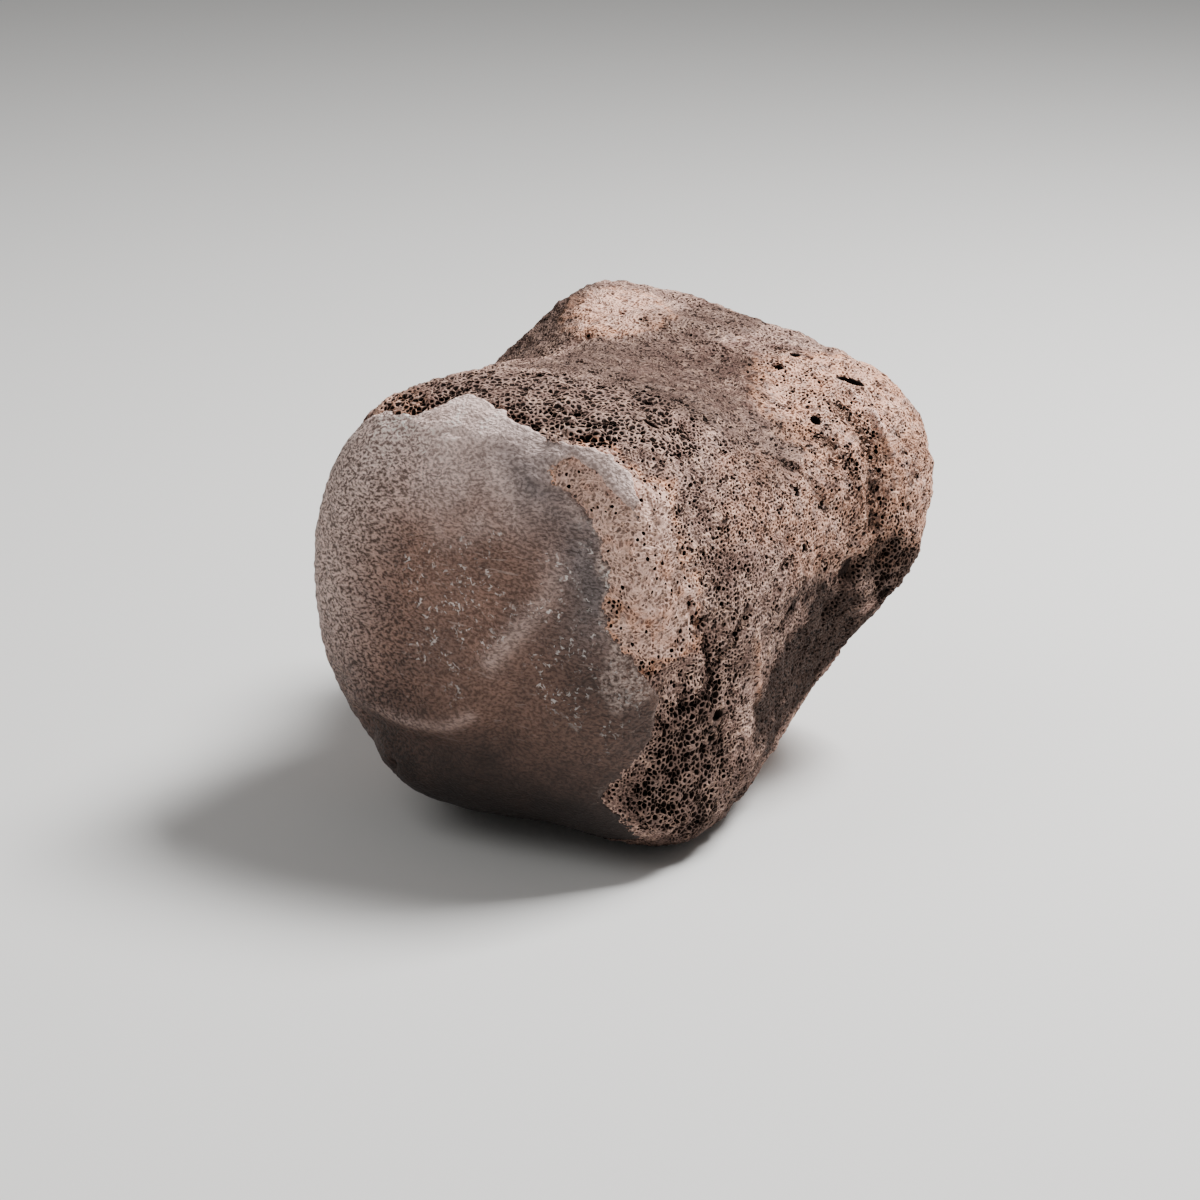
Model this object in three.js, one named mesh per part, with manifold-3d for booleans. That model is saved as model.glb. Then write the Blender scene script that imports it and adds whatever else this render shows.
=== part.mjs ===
// A fossil toe bone of a mammoth, life size, lying as it rests on a table.
// One closed solid in millimetres: +Z is up, the bone's long axis is Y, the jointed far (distal) end
// faces -Y and the broad near (proximal) end faces +Y. The floor is Z = 0 and the origin is the middle
// of the bone's footprint.
import * as THREE from "three";
import { mergeVertices } from "three/addons/utils/BufferGeometryUtils.js";
import Module from "manifold-3d";

// Driving sizes

const SHELL_DETAIL = 17; // subdivisions of the icosahedron that is pushed out to the bone's surface
const CORE = new THREE.Vector3(4, -2, 50); // every ray to the surface starts here
const REACH = 110; // longer than any ray
const BLEND = 14; // how softly two neighbouring forms of one end run into each other
const WAIST_BLEND = 16; // how softly the two ends run into the middle of the bone
const HOLLOW_BLEND = 8;
const FACET_BLEND = 4;

// Every form is a flattened egg: radii along X, Y and Z, how square its outline is seen along Y, and how
// sharply it turns over at its two ends. The back is the Y radius of its +Y half where that differs, a
// slope lifts its +Y end, and a taper widens it upwards.

const LEFT_CONDYLE = { centre: [-9.5, -36, 53], radii: [36.5, 22.5, 44], back: 60, outline: 2.2, edge: 2.8 };
const RIGHT_CONDYLE = { centre: [16, -36, 50], radii: [30.5, 22.5, 47.5], back: 60, outline: 3, edge: 2.8 };
const PALMAR_CORNER = { centre: [29.5, -32, 15], radii: [11, 15, 11], outline: 2.4, edge: 2.4 };
const PALMAR_SHELF = { centre: [-8, -43, 19], radii: [13, 12, 12], outline: 2.4, edge: 2.4 };
const PALMAR_LEFT = { centre: [-17, -21, 14], radii: [12, 16, 14.6], outline: 2.4, edge: 2.4 };

const SHAFT = { centre: [11, 2, 52], radii: [41, 44, 38], outline: 2.8, edge: 4, slope: 0.1, taper: 0.16 };
const PALMAR_RIDGE = { centre: [32, -4, 19], radii: [12, 40, 12], outline: 2.4, edge: 3, slope: 0.25 };

const BASE = { centre: [3, 39, 54], radii: [52, 34, 44], back: 19, outline: 2.4, edge: 2.6, taper: 0.23 };
const DORSAL_TUBER = { centre: [-15, 41, 81], radii: [24, 20, 19.6], back: 13, outline: 2.8, edge: 2.4 };
const SIDE_TUBER = { centre: [43.8, 38, 61], radii: [16, 18, 22], back: 15, outline: 2.2, edge: 2.2 };
const HEEL_TUBER = { centre: [6, 33, 16], radii: [20, 17, 18.5], outline: 2.2, edge: 2.2 };

const SIDE_HOLLOW = { centre: [72, 10, 18], radii: [22, 30, 24], outline: 2, edge: 2 };
const FAR_SIDE_HOLLOW = { centre: [-58, 6, 44], radii: [17, 30, 34], outline: 2, edge: 2 };
const UNDER_HOLLOW = { centre: [4, 8, -10], radii: [34, 26, 22], outline: 2, edge: 2 };
const NEAR_FACET = { centre: [2, 96, 58], radii: [62, 42, 46], outline: 2, edge: 2 };

// Flat facets: the underside of the jointed end sweeps up to the front, and the dorsal tuber falls off
// flatly to both sides.
const PALMAR_SWEEP = { point: [2, -50, 5.9], facing: [0.065, -0.45, -0.9] };
const DORSAL_SLOPE = { point: [16, 42, 97.6], facing: [0.18, 0, 0.98] };
const DORSAL_FLANK = { point: [-35.2, 36, 91.6], facing: [-0.76, 0, 0.63] };

// Relief along a line on the surface. It is raised where its height is above zero and hollow below it.

const CONDYLE_DISH = { line: [[-6, -61, 62], [4, -61, 57]], width: 17, height: -1.5 };
const CONDYLE_RIDGE = { line: [[27, -61, 70], [20, -61, 60], [10, -62, 49]], width: 4.5, height: 1.3 };
const TROCHLEA_GROOVE = {
  line: [[25, -55, 86], [31, -58, 73], [28, -60, 60], [19, -61, 44], [11, -61, 31]],
  width: 6,
  height: -2.2,
};
const RIGHT_RIB = { line: [[37, -54, 80], [41, -56, 62], [41, -57, 42]], width: 6, height: 0.9 };
const PALMAR_LIP = { line: [[-26, -56, 31], [-13, -60, 30], [-3, -61, 31], [4, -61, 35]], width: 4, height: 1.5 };
const LIP_GROOVE = { line: [[-26, -54, 25], [-13, -58, 24], [-2, -60, 25]], width: 4, height: -1.6 };
const PALMAR_VALLEY = { line: [[7, -61, 28], [21, -60, 26], [34, -58, 23]], width: 5, height: -1.7 };
const PALMAR_KNOB = { line: [[-21, -56, 17], [-17, -57, 16]], width: 5, height: 1.2 };
const FLANK_RIDGE = { line: [[51, -32, 60], [52, -29, 46], [50, -27, 33], [47, -24, 18]], width: 6, height: 1.4 };
const RIM_GROOVE = { line: [[50, 25, 88], [56, 23, 78], [58, 22, 66], [57, 24, 52]], width: 4.5, height: -1.6 };
const DORSAL_CREST = { line: [[-23, 31, 101], [-15, 20, 98], [-5, 7, 96]], width: 5, height: 1.3 };
const DORSAL_DISH = { line: [[22, 12, 95], [34, 0, 93]], width: 13, height: -1.5 };
const DORSAL_RIM = { line: [[-25, -40, 90], [-11, -36, 98]], width: 9, height: 1.5 };

const LUMP_HEIGHT = 0.45; // low uneven swellings all over the bone behind the smooth joint face
const JOINT_FACE_BACK = -46; // the swellings have died out in front of this Y

// The joint's smooth outer layer stands proud of the bone and ends in a ragged edge. The edge is drawn in X
// and Z on the plane Y = LAYER_PLANE and is projected from there towards CORE.

const LAYER_RISE = 0.9;
const LAYER_PLANE = -60;
const LAYER_OUTLINE = [
  [-34, 104.5], [-25.4, 102.9], [-20.3, 103], [-15.8, 106.9], [-12.3, 111.4], // left end of the top edge
  [-9.5, 115.3], [-4.3, 113.8], [-0.1, 112.5], [3.4, 110.1], [6.2, 107.8], // peak
  [13, 104.8], [19, 102.2], [27.1, 102.5], [36.8, 101.6], [43, 97.2], [45, 90.7], [43.8, 86.7], // thin flap
  [40.8, 88.5], [37.4, 92], [33.6, 95.6], [30.1, 97.1], [26.5, 99.3], [22.6, 96.5], // back along the flap
  [20.9, 92.7], [24, 89.6], [27.9, 86.7], [32.4, 82.6], [34.4, 77.1], [35.9, 69.4], [34.5, 60.3], // right side
  [37.4, 56.3], [40.6, 52.1], [46, 47.3], [50.6, 41.5], [49.4, 36.5], [47.7, 31.5], [45, 26.5],
  [41.7, 23.6], [37, 19.9], [33.9, 16.9], [35.7, 13.8], [38.3, 11.7], [42.4, 7.5], // lower right corner
  [45, -4], [32, -12], [12, -17], [-8, -16], [-30, -20], [-52, -6], [-74, 12], // under the bone
  [-92, 36], [-96, 58], [-84, 78], [-62, 92], [-46, 99], // round the left side
];

// Holes sunk into the surface. Each sits where the ray towards its point leaves the bone; a stretched one
// is a slot that is turned about its own axis.

const HOLES = [
  { at: [46.6, 13, 86], radius: 1.4, depth: 6 }, // nutrient foramen beside the side tuber
  { at: [47, 29.8, 90.8], radius: 1, depth: 4, stretch: 3.4, turn: 1.2 }, // slot on the side tuber
  { at: [33.2, -35, 95], radius: 0.9, depth: 3, stretch: 3.2, turn: 0.5 }, // slot behind the dorsal band
  { at: [33.7, 28, 95], radius: 1.2, depth: 3 },
  { at: [33.5, 21, 94.4], radius: 1.1, depth: 3 },
  { at: [51.7, -6.4, 75.9], radius: 1.2, depth: 4 },
  { at: [53.8, -6.6, 63.6], radius: 1.1, depth: 4 },
  { at: [53.1, 5, 55.7], radius: 1.2, depth: 4 },
  { at: [48.9, -35.5, 34.6], radius: 1.5, depth: 4 },
  { at: [47.9, -36.2, 29.5], radius: 1.2, depth: 4 },
  { at: [-18.7, -57.2, 16.6], radius: 1, depth: 3 },
  { at: [55.1, 15.8, 51.6], radius: 3, depth: 4, stretch: 1.5, turn: 1.2 }, // pocket under the side tuber
  { at: [51.6, 12, 43.3], radius: 2.2, depth: 3.5, stretch: 1.4, turn: 1.2 },
  { at: [47.7, -44, 58.2], radius: 0.9, depth: 2.5, stretch: 3, turn: 0.3 }, // crack on the flank's edge
  { at: [-46, 30, 60], radius: 1.3, depth: 4 }, // foramina of the far side
  { at: [-44, 8, 40], radius: 1.5, depth: 4 },
  { at: [-6, 56, 40], radius: 1.2, depth: 3 },
];

// Zones where the surface has worn off and the spongy inside lies open, strewn with small pits.

const PIT_RADIUS = 1;
const PIT_DEPTH = 2.6;
const PIT_SPACING = 3.4;
const SPONGY_ZONES = [
  { seed: 11, centre: [9, -40, 100], spread: [26, 7, 2], pits: 20 }, // band above the joint face
  { seed: 23, centre: [-20, -42, 94], spread: [7, 5, 3], pits: 4 }, // its left end
  { seed: 37, centre: [46, -44, 24], spread: [5, 8, 14], pits: 16 }, // worn lower corner
  { seed: 41, centre: [60, 32, 46], spread: [4, 8, 9], pits: 10 }, // under the side tuber
  { seed: 53, centre: [0, 58, 20], spread: [24, 4, 9], pits: 8 }, // lower edge of the near end
];

/** Distance in millimetres from a form's surface, measured along the ray from its centre. */
function egg({ centre, radii, back = radii[1], outline, edge, slope = 0, taper = 0 }) {
  const middle = new THREE.Vector3(...centre);
  return (point) => {
    const q = point.clone().sub(middle);
    const z = q.z - slope * q.y;
    const widening = 1 + (taper * z) / radii[2];
    const across = Math.abs(q.x / (radii[0] * widening)) ** outline;
    const upright = Math.abs(z / radii[2]) ** outline;
    const lengthwise = Math.abs(q.y / (q.y < 0 ? radii[1] : back)) ** edge;
    const level = ((across + upright) ** (edge / outline) + lengthwise) ** (1 / edge);
    return q.length() * (1 - 1 / Math.max(level, 1e-6));
  };
}

/** Signed distance from a plane through a point, below zero behind it. */
function plane({ point: through, facing }) {
  const normal = new THREE.Vector3(...facing).normalize();
  const offset = normal.dot(new THREE.Vector3(...through));
  return (point) => normal.dot(point) - offset;
}

/** Height of a relief at a point, fading out smoothly beside its line. */
function relief({ line, width, height }) {
  const corners = line.map((corner) => new THREE.Vector3(...corner));
  const pieces = corners.slice(1).map((end, i) => new THREE.Line3(corners[i], end));
  const nearest = new THREE.Vector3();
  return (point) => {
    const squares = pieces.map((piece) =>
      piece.closestPointToPoint(point, true, nearest).distanceToSquared(point),
    );
    return height * Math.exp(-Math.min(...squares) / width ** 2);
  };
}

/** Smooth minimum of two distances: a soft union of two forms. */
function softUnion(a, b, blend) {
  const h = Math.max(blend - Math.abs(a - b), 0) / blend;
  return Math.min(a, b) - (h * h * blend) / 4;
}

/** Smooth maximum: cuts the second form out of the first when its distance is negated. */
function softCut(a, b, blend) {
  return -softUnion(-a, -b, blend);
}

const jointedEnd = [LEFT_CONDYLE, RIGHT_CONDYLE, PALMAR_CORNER, PALMAR_SHELF, PALMAR_LEFT].map(egg);
const middle = [SHAFT, PALMAR_RIDGE].map(egg);
const broadEnd = [BASE, DORSAL_TUBER, SIDE_TUBER, HEEL_TUBER].map(egg);
const hollows = [SIDE_HOLLOW, FAR_SIDE_HOLLOW, UNDER_HOLLOW, NEAR_FACET].map(egg);
const [palmarSweep, dorsalSlope, dorsalFlank] = [PALMAR_SWEEP, DORSAL_SLOPE, DORSAL_FLANK].map(plane);
const reliefs = [
  CONDYLE_DISH,
  CONDYLE_RIDGE,
  TROCHLEA_GROOVE,
  RIGHT_RIB,
  PALMAR_LIP,
  LIP_GROOVE,
  PALMAR_VALLEY,
  PALMAR_KNOB,
  FLANK_RIDGE,
  RIM_GROOVE,
  DORSAL_CREST,
  DORSAL_DISH,
  DORSAL_RIM,
].map(relief);

/** Low swellings of the weathered surface; they fade out towards the joint face. */
function lumps({ x, y, z }) {
  const fade = THREE.MathUtils.smoothstep(y, JOINT_FACE_BACK, JOINT_FACE_BACK + 14);
  const broad = Math.sin(x / 5.3 + z / 9) * Math.sin(y / 6.1 + 1) * Math.sin(z / 5.7 + y / 11);
  const fine = Math.sin(x / 2.9 + 2) * Math.sin(y / 3.3 + z / 4.1) * Math.sin(z / 3.1 - x / 6);
  return LUMP_HEIGHT * fade * (broad + 0.6 * fine);
}

/** Signed distance to the bone: below zero inside. */
function boneField(point) {
  const [head, waist, foot] = [jointedEnd, middle, broadEnd].map((forms) =>
    forms.map((form) => form(point)).reduce((a, b) => softUnion(a, b, BLEND)),
  );
  const sloped = softCut(foot, dorsalSlope(point), FACET_BLEND);
  const trimmed = softCut(sloped, dorsalFlank(point), FACET_BLEND);
  let distance = softUnion(softUnion(head, waist, WAIST_BLEND), trimmed, WAIST_BLEND);
  for (const hollow of hollows) distance = softCut(distance, -hollow(point), HOLLOW_BLEND);
  distance = softCut(distance, palmarSweep(point), HOLLOW_BLEND);
  const raised = reliefs.reduce((sum, height) => sum + height(point), 0);
  return distance - raised - lumps(point);
}

/** The point where the ray from CORE along a direction is a rise above the bone's surface. */
function surfaceAlong(direction, rise = 0) {
  let inside = 0;
  let outside = REACH;
  const at = (distance) => CORE.clone().addScaledVector(direction, distance);
  for (let step = 0; step < 30; step++) {
    const halfway = (inside + outside) / 2;
    if (boneField(at(halfway)) < rise) inside = halfway;
    else outside = halfway;
  }
  return at(inside);
}

/** Unit normal of the surface, facing out. */
function outwardAt(point) {
  const step = 0.5;
  const slopeAlong = (axis) =>
    boneField(point.clone().addScaledVector(axis, step)) -
    boneField(point.clone().addScaledVector(axis, -step));
  const axes = [new THREE.Vector3(1, 0, 0), new THREE.Vector3(0, 1, 0), new THREE.Vector3(0, 0, 1)];
  return new THREE.Vector3(...axes.map(slopeAlong)).normalize();
}

/** An icosahedron whose corners are pushed out along their rays to a rise above the bone's surface. */
function shell(rise) {
  const ball = new THREE.IcosahedronGeometry(1, SHELL_DETAIL);
  ball.deleteAttribute("normal");
  ball.deleteAttribute("uv");
  const skin = mergeVertices(ball, 1e-4);
  const position = skin.getAttribute("position");
  const direction = new THREE.Vector3();
  for (let i = 0; i < position.count; i++) {
    direction.fromBufferAttribute(position, i).normalize();
    const p = surfaceAlong(direction, rise);
    position.setXYZ(i, p.x, p.y, Math.max(p.z, 0));
  }
  return skin;
}

/** The wedge of rays from CORE that keeps the smooth outer layer inside its ragged outline. */
function layerWedge() {
  const outline = new THREE.Shape(LAYER_OUTLINE.map(([x, z]) => new THREE.Vector2(x - CORE.x, z - CORE.z)));
  const wedge = new THREE.ExtrudeGeometry(outline, { depth: 1, bevelEnabled: false });
  const position = wedge.getAttribute("position");
  for (let i = 0; i < position.count; i++) {
    const run = THREE.MathUtils.lerp(0.3, 1.3, position.getZ(i)); // share of the way from CORE to the plane
    position.setXYZ(
      i,
      CORE.x + run * position.getX(i),
      CORE.y + run * (LAYER_PLANE - CORE.y),
      CORE.z + run * position.getY(i),
    );
  }
  return wedge;
}

/** A tapered pit that sinks along the inward normal where the ray towards its point leaves the bone. */
function pit({ at, radius, depth, stretch = 1, turn = 0, sides = 8 }) {
  const mouth = surfaceAlong(new THREE.Vector3(...at).sub(CORE).normalize());
  const proud = LAYER_RISE + 1;
  const tool = new THREE.CylinderGeometry(radius * 1.15, radius * 0.55, depth + proud, sides);
  tool.translate(0, (proud - depth) / 2, 0);
  tool.scale(stretch, 1, 1);
  tool.rotateY(turn);
  tool.applyQuaternion(
    new THREE.Quaternion().setFromUnitVectors(new THREE.Vector3(0, 1, 0), outwardAt(mouth)),
  );
  tool.translate(mouth.x, mouth.y, mouth.z);
  return tool;
}

/** The small pits of one spongy zone, strewn with a fixed seed and kept a spacing apart. */
function strewnPits({ seed, centre, spread, pits }) {
  THREE.MathUtils.seededRandom(seed);
  const random = THREE.MathUtils.seededRandom;
  const places = [];
  for (let tries = 0; places.length < pits && tries < 400; tries++) {
    const place = new THREE.Vector3(...centre.map((c, i) => c + spread[i] * (2 * random() - 1)));
    if (places.every((other) => other.distanceTo(place) > PIT_SPACING)) places.push(place);
  }
  return places.map((place) =>
    pit({
      at: place.toArray(),
      radius: PIT_RADIUS * (0.8 + 0.5 * random()),
      depth: PIT_DEPTH,
      stretch: 1 + 0.5 * random(),
      turn: Math.PI * random(),
      sides: 6,
    }),
  );
}

const wasm = await Module();
wasm.setup();

/** A closed solid from a geometry. */
function solid(geometry) {
  geometry.deleteAttribute("normal");
  geometry.deleteAttribute("uv");
  const welded = mergeVertices(geometry, 1e-4);
  return new wasm.Manifold(
    new wasm.Mesh({
      numProp: 3,
      vertProperties: Float32Array.from(welded.getAttribute("position").array),
      triVerts: Uint32Array.from(welded.index.array),
    }),
  );
}

/** The geometry of a solid, moved so that its footprint's middle is the origin. */
function centred(body) {
  const mesh = body.getMesh();
  const geometry = new THREE.BufferGeometry();
  geometry.setAttribute("position", new THREE.BufferAttribute(mesh.vertProperties, 3));
  geometry.setIndex(new THREE.BufferAttribute(mesh.triVerts, 1));
  geometry.computeBoundingBox();
  const middleOfBox = geometry.boundingBox.getCenter(new THREE.Vector3());
  geometry.translate(-middleOfBox.x, -middleOfBox.y, 0);
  geometry.computeVertexNormals();
  return geometry;
}

const layer = solid(shell(LAYER_RISE)).intersect(solid(layerWedge()));
const pits = [...HOLES.map(pit), ...SPONGY_ZONES.flatMap(strewnPits)].map(solid);
const body = solid(shell(0)).add(layer).subtract(wasm.Manifold.union(pits));

const bone = new THREE.Mesh(
  centred(body),
  new THREE.MeshStandardMaterial({ color: 0x9c8273, roughness: 0.85, metalness: 0 }),
);
bone.name = "toe_bone";

const model = new THREE.Group();
model.name = "mammoth_toe_bone";
model.add(bone);

export default model;
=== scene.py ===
import logging
import math
from dataclasses import dataclass
from enum import IntEnum

import bmesh
import bpy
import numpy as np
from bpy.types import Material, Mesh, Object
from bpy.types import NodeSocket as Socket
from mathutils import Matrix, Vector


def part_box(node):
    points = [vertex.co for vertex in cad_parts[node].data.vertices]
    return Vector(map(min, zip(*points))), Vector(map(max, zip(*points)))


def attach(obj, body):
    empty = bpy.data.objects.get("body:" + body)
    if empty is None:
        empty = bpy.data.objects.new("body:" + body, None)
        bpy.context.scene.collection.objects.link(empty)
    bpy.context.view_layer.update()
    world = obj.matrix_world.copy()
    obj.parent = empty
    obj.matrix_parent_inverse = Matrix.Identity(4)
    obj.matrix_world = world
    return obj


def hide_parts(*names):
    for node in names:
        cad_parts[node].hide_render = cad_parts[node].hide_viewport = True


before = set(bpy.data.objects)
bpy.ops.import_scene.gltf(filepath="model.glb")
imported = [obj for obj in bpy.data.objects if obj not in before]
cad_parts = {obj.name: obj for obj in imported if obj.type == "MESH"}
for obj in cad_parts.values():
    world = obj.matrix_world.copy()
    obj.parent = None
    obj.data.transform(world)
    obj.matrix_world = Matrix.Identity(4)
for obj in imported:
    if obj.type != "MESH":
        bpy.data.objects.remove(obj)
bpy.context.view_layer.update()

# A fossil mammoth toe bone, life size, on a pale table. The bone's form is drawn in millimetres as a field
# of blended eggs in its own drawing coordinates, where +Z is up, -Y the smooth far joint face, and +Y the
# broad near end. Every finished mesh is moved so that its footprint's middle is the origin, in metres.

MM = 0.001
NODE = "toe_bone"
LOG = logging.getLogger("toe_bone")
Triple = tuple[float, float, float]
Rows = np.ndarray  # rows of X, Y, Z or of corner numbers, or one value for each row


# Fields over space

def blend_min(a: Rows, b: Rows, blend: float) -> Rows:
    """Soft union of two distances."""
    h = np.maximum(blend - np.abs(a - b), 0) / blend
    return np.minimum(a, b) - h * h * blend / 4


def blend_max(a: Rows, b: Rows, blend: float) -> Rows:
    """Soft cut: what both distances are inside of."""
    return -blend_min(-a, -b, blend)


def smooth_step(value: Rows, low: float, high: float) -> Rows:
    """Rises smoothly from 0 at low to 1 at high."""
    t = np.clip((value - low) / (high - low), 0, 1)
    return t * t * (3 - 2 * t)


@dataclass(frozen=True)
class Egg:
    """A flattened egg form.

    Its radii lie along X, Y and Z. The outline says how square it is seen along Y and the edge how sharply
    it turns over at its ends. The back is the Y radius of its +Y half where that differs.
    """

    centre: Triple
    radii: Triple
    outline: float
    edge: float
    back: float = 0.0
    slope: float = 0.0
    taper: float = 0.0

    def distance(self, points: Rows) -> Rows:
        """Distance from the form's surface, along the ray from its centre.

        Args:
            points: rows of X, Y, Z in millimetres.

        Returns:
            One distance for each row, below zero inside.
        """
        q = points - np.array(self.centre)
        z = q[:, 2] - self.slope * q[:, 1]
        widening = 1 + self.taper * z / self.radii[2]
        reach = np.where(q[:, 1] < 0, self.radii[1], self.back or self.radii[1])
        across = np.abs(q[:, 0] / (self.radii[0] * widening)) ** self.outline
        upright = np.abs(z / self.radii[2]) ** self.outline
        lengthwise = np.abs(q[:, 1] / reach) ** self.edge
        level = ((across + upright) ** (self.edge / self.outline) + lengthwise) ** (1 / self.edge)
        return np.linalg.norm(q, axis=1) * (1 - 1 / np.maximum(level, 1e-6))


@dataclass(frozen=True)
class Facet:
    """A flat plane through a point, facing a direction."""

    point: Triple
    facing: Triple

    def distance(self, points: Rows) -> Rows:
        """Distance in front of the plane."""
        normal = np.array(self.facing) / np.linalg.norm(self.facing)
        return (points - np.array(self.point)) @ normal


@dataclass(frozen=True)
class Relief:
    """A ridge, or a groove where its height is below zero, along a line on the surface."""

    line: tuple[Triple, ...]
    width: float
    height: float

    def nearness(self, points: Rows) -> Rows:
        """Fades from 1 on the line to 0 beside it."""
        corners = np.array(self.line, float)
        best = np.full(len(points), np.inf)
        for start, end in zip(corners[:-1], corners[1:]):
            along = end - start
            share = np.clip((points - start) @ along / (along @ along), 0, 1)
            gap = points - start - share[:, None] * along
            best = np.minimum(best, (gap * gap).sum(axis=1))
        return np.exp(-best / self.width**2)

    def rise(self, points: Rows) -> Rows:
        """Height that the relief adds at each point."""
        return self.height * self.nearness(points)


class Grain:
    """Smooth seeded noise over space, between -1 and 1."""

    def __init__(self, seed: int) -> None:
        """Draws the noise's table of random numbers."""
        self.table = np.random.default_rng(seed).uniform(-1, 1, 65536)

    def corner(self, cell: Rows) -> Rows:
        """Random value of a lattice cell."""
        mixed = cell[:, 0] * 73856093 ^ cell[:, 1] * 19349663 ^ cell[:, 2] * 83492791
        return self.table[mixed & 65535]

    def at(self, points: Rows, size: float) -> Rows:
        """Noise whose bumps are about a size across.

        Args:
            points: rows of X, Y, Z in millimetres.
            size: distance between the noise's lattice cells.

        Returns:
            One value for each row.
        """
        scaled = points / size
        cell = np.floor(scaled).astype(np.int64)
        part = scaled - cell
        part = part * part * (3 - 2 * part)
        total = np.zeros(len(points))
        for step in range(8):
            offset = np.array([step & 1, step >> 1 & 1, step >> 2 & 1])
            weight = np.prod(np.where(offset, part, 1 - part), axis=1)
            total += weight * self.corner(cell + offset)
        return total

    def rough(self, points: Rows, size: float, octaves: int = 3) -> Rows:
        """Noise with finer and finer bumps added, each half as high as the one before."""
        return sum(self.at(points + 31.7 * k, size / 2**k) / 2**k for k in range(octaves))


# The bone's form

CORE = np.array([4.0, -2.0, 50.0])  # every ray to the surface starts here
SHIFT = np.array([-5.66, 2.39, 0.0])  # brings the middle of the footprint to the origin


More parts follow.
